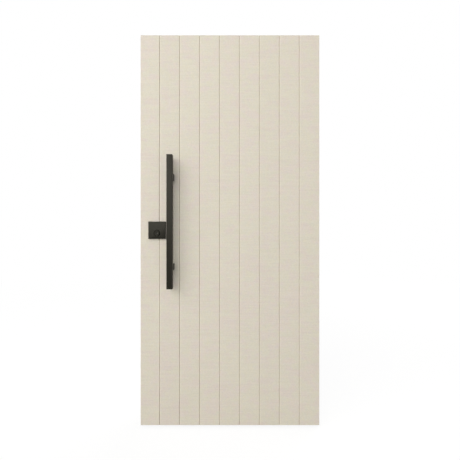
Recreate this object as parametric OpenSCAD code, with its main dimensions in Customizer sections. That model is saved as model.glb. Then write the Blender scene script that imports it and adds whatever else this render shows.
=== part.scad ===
// Aluminium pivot door: a leaf of interlocking hollow boards with a long square pull on each side,
// a roller and bolt lock, and a slim channel frame set back behind the leaf's front face.
// X runs along the width, Y from the outside to the inside, Z up. The leaf's middle is on x = 0, y = 0.

/* [Leaf] */
// Width of the leaf
leaf_w = 1100; // [950:10:1250]
// Height of the leaf
leaf_h = 2400; // [2100:10:2600]
// Thickness of the leaf
leaf_t = 80; // [76:1:90]
// Width of the first board, on the lock side
lock_board_w = 116; // [112:1:122]
// Thickness of the boards' faces
skin_t = 2; // [1.6:0.1:2.6]
// Thickness of the boards' inner walls
web_t = 1.8; // [1.4:0.1:2.4]
// Thickness of the leaf's two closed edges
edge_wall = 6; // [5:0.5:8]
// Depth of the V joint between two boards
groove_d = 3; // [2:0.5:4]
// Bevel on the leaf's outer corners
edge_bevel = 1; // [0.5:0.1:1.5]
// Length of a board's tongue
tongue_l = 10; // [7:0.5:12]
// Thickness of a board's tongue
tongue_t = 30; // [22:1:36]
// Clearance between two joined boards
joint_clear = 0.2; // [0.1:0.05:0.3]
// Depth of the rails in the leaf's top and bottom
rail_h = 40; // [38:1:50]
// Wall of the rails
rail_t = 3; // [2:0.5:4]
// Distance from the leaf's face to a rail's side
rail_seat = 5; // [4:0.5:6]

/* [Frame] */
// Distance from the leaf's front face back to the frame's front edge
frame_setback = 58; // [56:1:60]
// Depth of the frame
frame_d = 97; // [90:1:110]
// Gap between the leaf's edge and a jamb
side_gap = 6; // [6:0.5:8]
// Gap between the leaf and the head
head_gap = 5; // [4:0.5:8]
// Gap between the leaf and the threshold
floor_gap = 8; // [7:0.5:10]
// Thickness of the jambs and the head
profile_t = 10.5; // [10:0.5:14]
// Thickness of the threshold
threshold_t = 10; // [9:0.5:13]
// Thickness of the frame profiles' broad wall
profile_web = 4; // [3.5:0.1:4.5]
// Thickness of the frame profiles' edge walls
profile_flange = 3; // [2.5:0.5:4]
// Diameter of the holes that fix a jamb to the wall
fixing_d = 7; // [6:0.5:9]
// Height of the lowest fixing hole above the threshold
fixing_low = 290; // [200:10:350]
// Distance between two fixing holes
fixing_pitch = 600; // [500:10:600]
// How far a stop stands in from the frame
stop_w = 22; // [20:1:28]
// Depth of a stop
stop_d = 30; // [26:1:36]
// Wall of a stop
stop_wall = 2; // [1.6:0.2:3]
// Space for the gasket between the leaf and a stop
gasket_space = 4; // [3:0.5:5]
// Width of a gasket's foot
gasket_w = 8; // [6:0.5:9]
// Depth of a gasket's groove
gasket_foot = 3; // [2:0.5:3]

/* [Pivot] */
// Distance from the leaf's edge to the pivot axis
pivot_inset = 120; // [110:1:140]
// Diameter of the floor spindle
spindle_pin_d = 16; // [14:1:18]
// Diameter of the top pivot pin
top_pin_d = 14; // [12:1:16]
// Wall of the pivot bushes
bush_wall = 3; // [2.5:0.5:3.5]
// Length of the pivot bodies along the leaf
pivot_body_l = 90; // [80:1:110]
// Width of the pivot plates along the frame
pivot_plate_w = 96; // [90:1:120]
// Depth of the pivot plates' wide part
pivot_plate_d = 40; // [36:1:42]
// Running clearance of a pin or shaft in its bore, on the radius
run_clear = 0.05; // [0.02:0.01:0.1]

/* [Pull] */
// Length of the pull bars
pull_l = 800; // [700:10:1000]
// Side of the square pull bars
pull_w = 35; // [30:1:40]
// How far a pull bar's face stands off the leaf
pull_out = 75; // [65:1:85]
// Wall of the pull bars
pull_wall = 2; // [1.5:0.1:3]
// Distance from the second board's middle wall to the middle of the pull bars
pull_offset = 13.5; // [13:0.5:20]
// Height of the middle of the pull bars above the leaf's bottom
pull_height = 1250; // [1150:10:1300]
// Distance between the two posts of a pull
post_span = 545; // [450:5:600]
// Height of a post
post_h = 40; // [36:1:44]
// Diameter of the rods that join the two pulls through the leaf
pull_rod_d = 8; // [6:1:10]
// Wall of the sleeves around the rods
sleeve_wall = 4; // [3:0.5:5]

/* [Lock] */
// Distance from the lock edge to the cylinder
lock_backset = 103; // [100:1:106]
// Height of the lock plates' middle above the leaf's bottom
lock_height = 1200; // [1100:10:1250]
// How far the cylinder lies below the plates' middle
cylinder_drop = 18; // [14:1:20]
// Side of the square lock plates
plate_w = 106; // [100:1:108]
// Thickness of the lock plates
plate_t = 12; // [10:0.5:14]
// Wall of the lock plates
plate_wall = 4; // [3:0.5:5]
// Distance from the plates' middle to each fixing bolt, along and up
plate_bolt_off = 40; // [39:0.5:42]
// Diameter of the plates' fixing bolts
plate_bolt_d = 5; // [4:0.5:6]
// Diameter of the round collar on the outer plate
rose_d = 40; // [38:1:42]
// How far the collar stands off the plate
rose_out = 8; // [6:0.5:10]
// Diameter of the lock cylinder
cylinder_d = 29; // [27:1:30]
// Diameter of the key plug
plug_d = 13; // [12:0.5:14]
// Distance from the leaf's inner face to the middle of the lock case
lock_inset = 12; // [12:0.5:13]
// Thickness of the lock case
case_t = 16; // [15:0.5:17]
// Wall of the lock case
case_wall = 2; // [1.5:0.1:2.2]
// Width of the forend
forend_w = 20; // [19:0.5:21]
// Thickness of the forend
forend_t = 3; // [2.5:0.1:3.5]
// Height of the bolt
bolt_h = 24; // [20:1:26]
// How far the bolt is thrown
bolt_throw = 15; // [14:0.5:15]
// Diameter of the latch roller
roller_d = 11; // [10:0.5:11]
// How far the roller stands out of the leaf's edge
roller_out = 6.5; // [5.5:0.1:7]
// Height of the roller above the cylinder
roller_rise = 85; // [82:1:90]
// Clearance of a sliding lock piece
slide_clear = 0.3; // [0.25:0.05:0.4]

/* [Hidden] */
$fn = 48;

coat = "#d9d1c0";
black = "#3a3835";
steel = "#b9bbbd";
bronze = "#a87f4f";
rubber = "#262626";

// Room for a cut to pass clear of a surface
past = 1;
// Gap between fixed pieces that seat on each other
seat_clear = 0.2;
// Gap between a press-fitted pin and its bore, on the radius
press_clear = 0.01;
// Gap between two faces that are screwed together
face_clear = 0.02;
// Room for a bolt in a plain hole, on the radius
hole_room = 0.5;
// Distance from a screw's tip to the surface before it
tip_gap = 0.5;

// Leaf
board_count = 9;
half_t = leaf_t / 2;
half_w = leaf_w / 2;
board_w = (leaf_w - lock_board_w) / (board_count - 1);
leaf_low = threshold_t + floor_gap;
leaf_top = leaf_low + leaf_h;
rail_half = half_t - rail_seat;
rail_end = half_w - edge_wall - seat_clear;
rail_room = rail_half - seat_clear - rail_t;

// Frame
frame_front = frame_setback - half_t;
frame_back = frame_front + frame_d;
jamb_face = half_w + side_gap;
frame_half = jamb_face + profile_t;
head_low = leaf_top + head_gap;
frame_top = head_low + profile_t;
stop_front = half_t + gasket_space;
stop_face = jamb_face - stop_w;
stop_low = head_low - stop_w;
rib_back = 40;
frame_rib_y = frame_back - rib_back;
fixing_back = 16;
fixing_y = frame_rib_y + fixing_back;
fixing_z = threshold_t + fixing_low;
port_r = 3.6;
port_bore_r = 1.9;
port_out = 2.6;
port_inset = [25, 20];
port_x = jamb_face + profile_web + port_out;
port_y = [frame_front + port_inset[0], frame_back - port_inset[1]];

// Pivot
pivot_x = half_w - pivot_inset;
pin_r = spindle_pin_d / 2;
bush_r = pin_r + run_clear + bush_wall;
top_pin_r = top_pin_d / 2;
top_bush_r = top_pin_r + run_clear + bush_wall;
plate_front = frame_front + profile_flange + seat_clear;
plate_screw_r = 2.5;
plate_screw_inset = 14;
pivot_plate_screw_x = pivot_plate_w / 2 - plate_screw_inset;
pivot_plate_screw_y = plate_front + pivot_plate_d / 2;
floor_plate_t = threshold_t - profile_web - seat_clear;
top_plate_low = head_low + profile_web + seat_clear;
stop_swing_room = 24;
stop_end = pivot_x - half_t - stop_swing_room;

// Pulls
pull_x = lock_board_w + board_w / 2 + pull_offset - half_w;
pull_z = leaf_low + pull_height;
post_z = [pull_z - post_span / 2, pull_z + post_span / 2];
pull_rod_r = pull_rod_d / 2;
post_d = pull_out - pull_w;
rod_cover = 8;
rod_end = half_t + post_d - rod_cover;
rod_hole_r = pull_rod_r + hole_room;

// Lock
lock_x = lock_backset - half_w;
plate_z = leaf_low + lock_height;
lock_z = plate_z - cylinder_drop;
lock_y = half_t - lock_inset;
case_half = case_t / 2;
case_room = case_half - case_wall;
case_behind = 25;
case_below = 44;
case_above = 30;
case_back = lock_backset + case_behind;
case_low = lock_z - case_below;
case_high = lock_z + roller_rise + case_above;
lock_screw_r = 2;
strip_screw_inset = 8;
forend_lap = 16;
forend_low = case_low - forend_lap;
forend_high = case_high + forend_lap;
forend_screw_z = [forend_low + strip_screw_inset, forend_high - strip_screw_inset];
slide_half = case_room - slide_clear;
bolt_rise = 6.5;
bolt_low = lock_z + bolt_rise;
tail_behind = 21;
bolt_tail = lock_backset + tail_behind;
bolt_sink = 1;
cam_reach = bolt_throw / 2 / sin(45);
cam_hub_r = 5.5;
cam_tip_r = 2;
cam_arm_w = 2;
cam_boss_r = 4.5;
cam_play = 0.9;
spindle_w = 5;
spindle_clear = 0.15;
roller_z = lock_z + roller_rise;
roller_r = roller_d / 2;
roller_half_h = 7;
roller_x = roller_r - roller_out;
carrier_half_h = 12;
carrier_ear_r = 3;
carrier_gap = 1.5;
carrier_l = 38;
carrier_front = roller_x + roller_r + carrier_gap;
carrier_back = carrier_front + carrier_l;
roller_pin_r = 2;
strike_below = 18;
strike_above = 20;
strike_low = bolt_low - strike_below;
strike_high = roller_z + carrier_half_h + strike_above;
strike_screw_z = [strike_low + strip_screw_inset, strike_high - strip_screw_inset];
strike_y0 = lock_y - forend_w / 2;
strike_y1 = lock_y + forend_w / 2;
strike_lap = 16;
strike_lip = 2;
strike_t = 2.5;
strike_clear = 0.8;
strike_box_wall = 1;
cylinder_r = cylinder_d / 2;
cylinder_hole_r = cylinder_r + hole_room;
plug_r = plug_d / 2;
plug_recess = 3;
plug_gap = 6;
plug_face = -half_t - plate_t - rose_out + plug_recess;
plug_back = lock_y - case_half - plug_gap;
plug_rim = 1;
cylinder_front = plug_face - plug_rim;
turn_shaft_r = 7;
turn_shaft_room = 2;
turn_shaft_back = lock_y + case_half + past;
turn_out = 24;
spindle_lap = [8, 6];
spindle_front = plug_back - spindle_lap[0];
spindle_back = half_t + plate_t + spindle_lap[1];
plate_bolt_r = plate_bolt_d / 2;
bolt_hole_r = plate_bolt_r + hole_room;
plate_bolt_x = [lock_x - plate_bolt_off, lock_x + plate_bolt_off];
plate_bolt_z = [plate_z - plate_bolt_off, plate_z + plate_bolt_off];

// A box from its low corner to its high corner
module block(low, high) {
  translate(low) cube(high - low);
}

// A round bar along X, Y or Z from one end to the other
module rod_x(x0, x1, y, z, r) {
  translate([x0, y, z]) rotate([0, 90, 0]) cylinder(h = x1 - x0, r = r);
}

module rod_y(x, y0, y1, z, r) {
  translate([x, y0, z]) rotate([-90, 0, 0]) cylinder(h = y1 - y0, r = r);
}

module rod_z(x, y, z0, z1, r) {
  translate([x, y, z0]) cylinder(h = z1 - z0, r = r);
}

// A countersunk screw, its head's face at the origin and its shank down -Z
module screw(length, r) {
  socket_d = r * 1.6;
  difference() {
    union() {
      translate([0, 0, -length]) cylinder(h = length, r = r);
      translate([0, 0, -r]) cylinder(h = r, r1 = r, r2 = 2 * r);
    }
    translate([0, 0, -r]) cylinder(h = r + past, d = socket_d, $fn = 6);
  }
}

// The seat of a countersunk screw: a clear hole and its cone
module screw_seat(length, r) {
  clear = 0.2;
  translate([0, 0, -length]) cylinder(h = length + past, r = r + clear);
  translate([0, 0, -r - clear]) cylinder(h = r + clear, r1 = r + clear, r2 = 2 * r + 2 * clear);
  cylinder(h = past, r = 2 * r + 2 * clear);
}

// A square with rounded corners, centred
module round_square(size, r) {
  square([size[0] - 2 * r, size[1]], center = true);
  square([size[0], size[1] - 2 * r], center = true);
  for (sx = [-1, 1], sy = [-1, 1])
    translate([sx * (size[0] / 2 - r), sy * (size[1] / 2 - r)]) circle(r);
}

// A flat bar with round ends, upright in the X plane
module round_strip(x0, x1, y, z0, z1, r) {
  block([x0, y - r, z0 + r], [x1, y + r, z1 - r]);
  for (z = [z0 + r, z1 - r]) rod_x(x0, x1, y, z, r);
}

// Boards of the leaf

function board_left(i) = i == 0 ? -half_w : lock_board_w - half_w + (i - 1) * board_w;
function board_width(i) = i == 0 ? lock_board_w : board_w;

tongue_half = tongue_t / 2;
pocket_half = tongue_half + joint_clear;
pocket_d = tongue_l + joint_clear;
inner_t = half_t - skin_t;

// The outer line of a board: a pocket or closed edge on the left, a tongue or closed edge on the right
function left_line(closed) = closed
  ? [[edge_bevel, half_t], [0, half_t - edge_bevel], [0, edge_bevel - half_t], [edge_bevel, -half_t]]
  : [[groove_d, half_t], [0, half_t - groove_d], [0, pocket_half], [pocket_d, pocket_half],
     [pocket_d, -pocket_half], [0, -pocket_half], [0, groove_d - half_t], [groove_d, -half_t]];

function right_line(w, closed) = closed
  ? [[w - edge_bevel, -half_t], [w, edge_bevel - half_t], [w, half_t - edge_bevel], [w - edge_bevel, half_t]]
  : let (f = w - joint_clear, v = half_t - groove_d + joint_clear)
    [[w - groove_d, -half_t], [f, -v], [f, -tongue_half], [f + tongue_l, -tongue_half],
     [f + tongue_l, tongue_half], [f, tongue_half], [f, v], [w - groove_d, half_t]];

// The two hollows of a board, each side of its middle wall
function left_hollow(middle, closed) = closed
  ? [[edge_wall, -inner_t], [middle, -inner_t], [middle, inner_t], [edge_wall, inner_t]]
  : [[web_t + groove_d, -inner_t], [middle, -inner_t], [middle, inner_t], [web_t + groove_d, inner_t],
     [web_t, inner_t - groove_d], [web_t, pocket_half + web_t], [pocket_d + web_t, pocket_half + web_t],
     [pocket_d + web_t, -pocket_half - web_t], [web_t, -pocket_half - web_t], [web_t, groove_d - inner_t]];

function right_hollow(middle, w, closed) = closed
  ? [[middle, -inner_t], [w - edge_wall, -inner_t], [w - edge_wall, inner_t], [middle, inner_t]]
  : let (f = w - joint_clear - web_t, n = tongue_half - web_t)
    [[middle, -inner_t], [f - groove_d, -inner_t], [f, groove_d - inner_t], [f, -n], [f + tongue_l, -n],
     [f + tongue_l, n], [f, n], [f, inner_t - groove_d], [f - groove_d, inner_t], [middle, inner_t]];

module board_section(w, closed_left, closed_right) {
  difference() {
    polygon(concat(left_line(closed_left), right_line(w, closed_right)));
    polygon(left_hollow((w - web_t) / 2, closed_left));
    polygon(right_hollow((w + web_t) / 2, w, closed_right));
  }
}

// One board, its inner walls cut back at both ends for the rails
module board(i) {
  first = i == 0;
  last = i == board_count - 1;
  w = board_width(i);
  cut_from = first ? edge_wall : -past;
  cut_to = last ? w - edge_wall : w + tongue_l + past;
  translate([board_left(i), 0, leaf_low]) difference() {
    linear_extrude(leaf_h) board_section(w, first, last);
    block([cut_from, -rail_half, -past], [cut_to, rail_half, rail_h]);
    block([cut_from, -rail_half, leaf_h - rail_h], [cut_to, rail_half, leaf_h + past]);
  }
}

// What the lock needs cut out of the boards
module lock_cuts() {
  edge = -half_w;
  gap = seat_clear;
  back_room = 2;
  round_strip(edge - past, edge + forend_t, lock_y, forend_low - gap, forend_high + gap, forend_w / 2 + gap);
  block([edge, lock_y - case_half - gap, case_low - gap],
        [edge + case_back + back_room, lock_y + case_half + gap, case_high + gap]);
  rod_y(lock_x, -half_t - past, lock_y, lock_z, cylinder_hole_r);
  rod_y(lock_x, lock_y, half_t + past, lock_z, turn_shaft_r + turn_shaft_room);
  for (x = plate_bolt_x, z = plate_bolt_z) rod_y(x, -half_t - past, half_t + past, z, bolt_hole_r);
  for (z = forend_screw_z) rod_x(edge, edge + edge_wall + past, lock_y, z, lock_screw_r + press_clear);
}

module lock_stile() {
  color(coat) difference() {
    board(0);
    lock_cuts();
  }
}

module plank_2() {
  color(coat) difference() {
    board(1);
    lock_cuts();
    for (z = post_z) rod_y(pull_x, -half_t - past, half_t + past, z, rod_hole_r);
  }
}

module plank_3() {
  color(coat) board(2);
}

module plank_4() {
  color(coat) board(3);
}

module plank_5() {
  color(coat) board(4);
}

module plank_6() {
  color(coat) board(5);
}

module plank_7() {
  color(coat) board(6);
}

module plank_8() {
  color(coat) board(7);
}

module pivot_stile() {
  color(coat) board(board_count - 1);
}

// Rails: channels, open below, that close the ends of the boards
module rail(low) {
  side = rail_half - seat_clear;
  translate([0, 0, low]) difference() {
    block([-rail_end, -side, 0], [rail_end, side, rail_h]);
    block([-rail_end - past, -rail_room, -past], [rail_end + past, rail_room, rail_h - rail_t]);
  }
}

pivot_screw_r = 3;
pivot_screw_inset = 12;
pivot_screw_off = pivot_body_l / 2 - pivot_screw_inset;
pivot_screw_x = [pivot_x - pivot_screw_off, pivot_x + pivot_screw_off];
top_screw_l = 20;
bottom_screw_l = rail_h - 2 * tip_gap;

module top_rail() {
  color(steel) difference() {
    rail(leaf_top - rail_h);
    rod_z(pivot_x, 0, leaf_top - rail_h, leaf_top + past, top_pin_r + hole_room);
    for (x = pivot_screw_x) translate([x, 0, leaf_top]) screw_seat(top_screw_l, pivot_screw_r);
  }
}

module bottom_rail() {
  color(steel) difference() {
    rail(leaf_low);
    for (x = pivot_screw_x)
      rod_z(x, 0, leaf_low, leaf_low + rail_h + past, pivot_screw_r + press_clear);
  }
}

// Pivots
module pivot_block(low, high) {
  side = rail_room - slide_clear;
  block([pivot_x - pivot_body_l / 2, -side, low], [pivot_x + pivot_body_l / 2, side, high]);
}

top_body_rise = 2;
bottom_body_rise = 0.5;
spindle_cover = 8;
shoulder_drop = 4.5;
top_body_low = leaf_top - rail_h + top_body_rise;
top_body_high = leaf_top - rail_t - seat_clear;
bottom_body_low = leaf_low + bottom_body_rise;
bottom_body_high = leaf_low + rail_h - rail_t - seat_clear;
spindle_top = bottom_body_high - spindle_cover;
bottom_bush_over = 1;
bottom_bush_top = spindle_top + bottom_bush_over;
bottom_bore_top = bottom_bush_top + bottom_bush_over;
shoulder_top = leaf_low - shoulder_drop;
washer_lap = 3;

module top_pivot_body() {
  color(steel) difference() {
    pivot_block(top_body_low, top_body_high);
    rod_z(pivot_x, 0, top_body_low - past, top_body_high + past, top_pin_r + press_clear);
    for (x = pivot_screw_x)
      rod_z(x, 0, top_body_high - top_screw_l, top_body_high + past, pivot_screw_r + press_clear);
  }
}

module top_pivot_pin() {
  color(steel) rod_z(pivot_x, 0, top_body_low, frame_top - tip_gap, top_pin_r);
}

module bottom_pivot_body() {
  color(steel) difference() {
    pivot_block(bottom_body_low, bottom_body_high);
    rod_z(pivot_x, 0, bottom_body_low - past, bottom_bore_top, bush_r + press_clear);
    for (x = pivot_screw_x)
      translate([x, 0, bottom_body_low]) rotate([180, 0, 0]) screw_seat(rail_h, pivot_screw_r);
  }
}

module bottom_bush() {
  color(bronze) difference() {
    rod_z(pivot_x, 0, bottom_body_low, bottom_bush_top, bush_r);
    rod_z(pivot_x, 0, bottom_body_low - past, bottom_bush_top + past, pin_r + run_clear);
  }
}

module thrust_washer() {
  color(bronze) difference() {
    rod_z(pivot_x, 0, shoulder_top + slide_clear, bottom_body_low - face_clear, bush_r + washer_lap);
    rod_z(pivot_x, 0, shoulder_top, bottom_body_low + past, pin_r + run_clear);
  }
}

module pivot_body_screws() {
  color(steel) for (x = pivot_screw_x) {
    translate([x, 0, leaf_top]) screw(top_screw_l, pivot_screw_r);
    translate([x, 0, bottom_body_low]) rotate([180, 0, 0]) screw(bottom_screw_l, pivot_screw_r);
  }
}

// Brush under the leaf: a holder against the rail's wall and a row of pile, each side of the pivot
module bottom_brush() {
  holder_w = 10;
  holder_h = 12;
  pile_w = 5;
  pile_gap = 0.6;
  body_gap = 4;
  y1 = rail_room - slide_clear;
  y0 = y1 - holder_w;
  pile_y = (y0 + y1 - pile_w) / 2;
  from = [-rail_end, pivot_x + pivot_body_l / 2 + body_gap];
  to = [pivot_x - pivot_body_l / 2 - body_gap, rail_end];
  color(rubber) for (i = [0, 1]) {
    block([from[i], y0, leaf_low], [to[i], y1, leaf_low + holder_h]);
    block([from[i], pile_y, threshold_t + pile_gap], [to[i], pile_y + pile_w, leaf_low]);
  }
}

// Frame profiles: a broad wall with edge walls and a rib behind it
module frame_section(thickness) {
  square([profile_web, frame_d]);
  for (y = [0, frame_rib_y - frame_front, frame_d - profile_flange])
    translate([0, y]) square([thickness, profile_flange]);
}

module jamb(side) {
  mirror([side < 0 ? 1 : 0, 0, 0]) difference() {
    translate([0, 0, threshold_t]) linear_extrude(head_low - threshold_t) difference() {
      union() {
        translate([jamb_face, frame_front]) frame_section(profile_t);
        for (y = port_y) translate([port_x, y]) circle(port_r);
      }
      for (y = port_y) translate([port_x, y]) circle(port_bore_r);
    }
    for (i = [0:3])
      rod_x(jamb_face - past, frame_half, fixing_y, fixing_z + i * fixing_pitch, fixing_d / 2);
  }
}

stop_screw_r = 2;
stop_screw_l = stop_w + profile_web - tip_gap;
stop_screw_end = 130;
stop_mid_y = stop_front + (stop_d + gasket_foot) / 2;
jamb_screw_run = head_low - threshold_t - 2 * stop_screw_end;
head_screw_run = stop_end + stop_face - 2 * stop_screw_end;
stop_screw_z = [for (i = [0:4]) threshold_t + stop_screw_end + i * jamb_screw_run / 4];
stop_screw_x = [for (i = [0:2]) -stop_face + stop_screw_end + i * head_screw_run / 2];
stop_groove = 8;

// The strike's windows, for the bolt and for the roller
module strike_windows(x0, x1, clear) {
  w = slide_half + clear;
  h = carrier_half_h + clear;
  block([x0, lock_y - w, bolt_low - clear], [x1, lock_y + w, bolt_low + bolt_h + clear]);
  block([x0, lock_y - w, roller_z - h], [x1, lock_y + w, roller_z + h]);
}

module lock_jamb() {
  gap = seat_clear;
  color(coat) difference() {
    jamb(-1);
    block([-jamb_face - strike_t, strike_y0 - past, strike_low - gap],
          [-jamb_face + past, strike_y1 + gap, strike_high + gap]);
    block([-jamb_face - profile_web - past, frame_front + profile_flange, strike_low + strike_lap],
          [-jamb_face, strike_y1 - strike_lip, strike_high - strike_lap]);
    for (z = strike_screw_z) rod_x(-frame_half, -jamb_face, lock_y, z, lock_screw_r + press_clear);
    for (z = stop_screw_z) rod_x(-frame_half, -jamb_face + past, stop_mid_y, z, stop_screw_r + press_clear);
  }
}

brush_w = 5;
brush_foot = 2.5;
brush_back = 4;
brush_y = half_t - brush_back;

module pivot_jamb() {
  color(coat) difference() {
    jamb(1);
    block([jamb_face - past, brush_y - brush_w / 2, threshold_t - past],
          [jamb_face + brush_foot, brush_y + brush_w / 2, head_low + past]);
  }
}

module pivot_brush() {
  foot = brush_w / 2 - seat_clear / 2;
  pile = 1.5;
  pile_gap = 2.6;
  reach = side_gap - pile_gap;
  color(rubber) {
    block([jamb_face, brush_y - foot, threshold_t],
          [jamb_face + brush_foot - seat_clear, brush_y + foot, head_low]);
    block([jamb_face - reach, brush_y - pile, threshold_t], [jamb_face, brush_y + pile, head_low]);
  }
}

// Threshold and head run across the ends of the jambs
corner_screw_r = port_bore_r - press_clear;
corner_screw_grip = 30;
corner_head_h = 3;
corner_screw_l = profile_web + corner_screw_grip + corner_head_h;

module corner_holes(low, high) {
  for (sx = [-1, 1], y = port_y) rod_z(sx * port_x, y, low, high, corner_screw_r + seat_clear);
}

module plate_notch(low, high) {
  w = pivot_plate_w / 2 + slide_clear;
  block([pivot_x - w, frame_front - past, low], [pivot_x + w, plate_front, high]);
}

module threshold() {
  rib_pitch = 9;
  rib_d = 0.8;
  rib_w = 3;
  rib_margin = 6;
  rib_from = half_t + rib_margin;
  rib_count = floor((frame_back - rib_from - rib_margin) / rib_pitch);
  color(steel) difference() {
    translate([-frame_half, 0, threshold_t]) rotate([0, 90, 0])
      linear_extrude(2 * frame_half) translate([0, frame_front]) frame_section(threshold_t);
    for (i = [0:rib_count])
      block([-jamb_face + stop_w, rib_from + i * rib_pitch, threshold_t - rib_d],
            [jamb_face, rib_from + i * rib_pitch + rib_w, threshold_t + past]);
    corner_holes(-past, threshold_t + past);
    plate_notch(-past, threshold_t - profile_web);
    for (sx = [-1, 1])
      translate([pivot_x + sx * pivot_plate_screw_x, pivot_plate_screw_y, threshold_t])
        screw_seat(threshold_t, plate_screw_r);
  }
}

module head() {
  color(coat) difference() {
    translate([-frame_half, 0, head_low]) rotate([0, 90, 0])
      linear_extrude(2 * frame_half) translate([0, frame_front]) mirror([1, 0]) frame_section(profile_t);
    corner_holes(head_low - past, frame_top);
    plate_notch(head_low + profile_web, frame_top + past);
    for (sx = [-1, 1])
      translate([pivot_x + sx * pivot_plate_screw_x, pivot_plate_screw_y, head_low]) rotate([180, 0, 0])
        screw_seat(profile_web + past, plate_screw_r);
    for (x = stop_screw_x) rod_z(x, stop_mid_y, head_low - past, frame_top, stop_screw_r + press_clear);
  }
}

module corner_screws() {
  color(steel) for (sx = [-1, 1], y = port_y) {
    translate([sx * port_x, y, threshold_t - profile_web - corner_head_h]) rotate([180, 0, 0])
      pan_screw(corner_screw_l);
    translate([sx * port_x, y, head_low + profile_web + corner_head_h]) pan_screw(corner_screw_l);
  }
}

// A pan-head screw, its head's top at the origin and its shank down -Z
module pan_screw(length) {
  head_h = corner_head_h - seat_clear;
  socket_r = 1.5;
  difference() {
    union() {
      translate([0, 0, -length]) cylinder(h = length, r = corner_screw_r);
      translate([0, 0, -head_h]) cylinder(h = head_h, r = port_r);
    }
    translate([0, 0, -head_h / 2]) cylinder(h = head_h, r = socket_r, $fn = 6);
  }
}

// Stops: hollow profiles with a gasket groove in front
module stop_section() {
  difference() {
    square([stop_w, stop_d]);
    translate([stop_groove - gasket_w / 2, -past]) square([gasket_w, gasket_foot + past]);
    translate([stop_wall, gasket_foot + stop_wall])
      square([stop_w - 2 * stop_wall, stop_d - gasket_foot - 2 * stop_wall]);
  }
}

module gasket_section() {
  bulb_r = gasket_space - slide_clear;
  foot = gasket_w - 2 * seat_clear;
  translate([stop_groove, 0]) {
    translate([-foot / 2, 0]) square([foot, gasket_foot - seat_clear]);
    intersection() {
      circle(bulb_r);
      translate([-bulb_r, -bulb_r]) square([2 * bulb_r, bulb_r]);
    }
  }
}

// Places a stop's section along the lock jamb: standing in from the stop's face back to the jamb
module along_jamb() {
  translate([-stop_face, stop_front, threshold_t]) mirror([1, 0, 0])
    linear_extrude(head_low - threshold_t) children();
}

// Places a stop's section under the head, from the lock stop to near the pivot
module along_head(from) {
  translate([from, stop_front, stop_low]) rotate([0, -90, 0]) mirror([0, 0, 1])
    linear_extrude(stop_end - from) children();
}

module lock_stop() {
  color(coat) difference() {
    along_jamb() stop_section();
    for (z = stop_screw_z)
      translate([-stop_face, stop_mid_y, z]) rotate([0, 90, 0]) screw_seat(stop_w + past, stop_screw_r);
  }
}

module head_stop() {
  color(coat) difference() {
    along_head(-stop_face + seat_clear) stop_section();
    for (x = stop_screw_x)
      translate([x, stop_mid_y, stop_low]) rotate([180, 0, 0]) screw_seat(stop_w + past, stop_screw_r);
  }
}

module stop_screws() {
  color(steel) {
    for (z = stop_screw_z)
      translate([-stop_face, stop_mid_y, z]) rotate([0, 90, 0]) screw(stop_screw_l, stop_screw_r);
    for (x = stop_screw_x)
      translate([x, stop_mid_y, stop_low]) rotate([180, 0, 0]) screw(stop_screw_l, stop_screw_r);
  }
}

module lock_gasket() {
  color(rubber) along_jamb() gasket_section();
}

module head_gasket() {
  color(rubber) along_head(-stop_face + seat_clear) gasket_section();
}

// Strike in the lock jamb
module strike_plate() {
  color(black) difference() {
    block([-jamb_face - strike_t + seat_clear, strike_y0, strike_low], [-jamb_face, strike_y1, strike_high]);
    strike_windows(-jamb_face - strike_t, -jamb_face + past, strike_clear);
    for (z = strike_screw_z)
      translate([-jamb_face, lock_y, z]) rotate([0, 90, 0]) screw_seat(strike_t + past, lock_screw_r);
  }
}

module strike_box() {
  x0 = -frame_half + tip_gap;
  x1 = -jamb_face - strike_t;
  y0 = frame_front + profile_flange + seat_clear;
  y1 = strike_y1 - strike_lip - seat_clear;
  z0 = strike_low + strike_lap + seat_clear;
  z1 = strike_high - strike_lap - seat_clear;
  wall = strike_box_wall;
  color(rubber) difference() {
    block([x0, y0, z0], [x1, y1, z1]);
    block([x0 + wall, y0 + wall, z0 + wall], [x1 + past, y1 - wall, z1 - wall]);
  }
}

module strike_screws() {
  color(steel) for (z = strike_screw_z)
    translate([-jamb_face, lock_y, z]) rotate([0, 90, 0]) screw(profile_t - tip_gap, lock_screw_r);
}

// Pivot plates: a wide part under or over the frame's broad wall and a lobe out to the axis
module pivot_plate(low, high, lobe_r) {
  block([pivot_x - pivot_plate_w / 2, plate_front, low],
        [pivot_x + pivot_plate_w / 2, plate_front + pivot_plate_d, high]);
  block([pivot_x - lobe_r, 0, low], [pivot_x + lobe_r, plate_front + past, high]);
  rod_z(pivot_x, 0, low, high, lobe_r);
}

module pivot_plate_holes(low, high) {
  for (sx = [-1, 1])
    rod_z(pivot_x + sx * pivot_plate_screw_x, pivot_plate_screw_y, low, high, plate_screw_r + press_clear);
}

floor_lobe_r = 12;
top_lobe_wall = 4;
spigot_r = 6;

module floor_plate() {
  color(steel) difference() {
    pivot_plate(0, floor_plate_t, floor_lobe_r);
    rod_z(pivot_x, 0, -past, floor_plate_t + past, spigot_r + press_clear);
    pivot_plate_holes(-past, floor_plate_t + past);
  }
}

module floor_spindle() {
  color(steel) {
    rod_z(pivot_x, 0, tip_gap, floor_plate_t + past, spigot_r);
    rod_z(pivot_x, 0, floor_plate_t + face_clear, shoulder_top, bush_r);
    rod_z(pivot_x, 0, shoulder_top - past, spindle_top, pin_r);
  }
}

module floor_plate_screws() {
  color(steel) for (sx = [-1, 1])
    translate([pivot_x + sx * pivot_plate_screw_x, pivot_plate_screw_y, threshold_t])
      screw(threshold_t - tip_gap, plate_screw_r);
}

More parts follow.
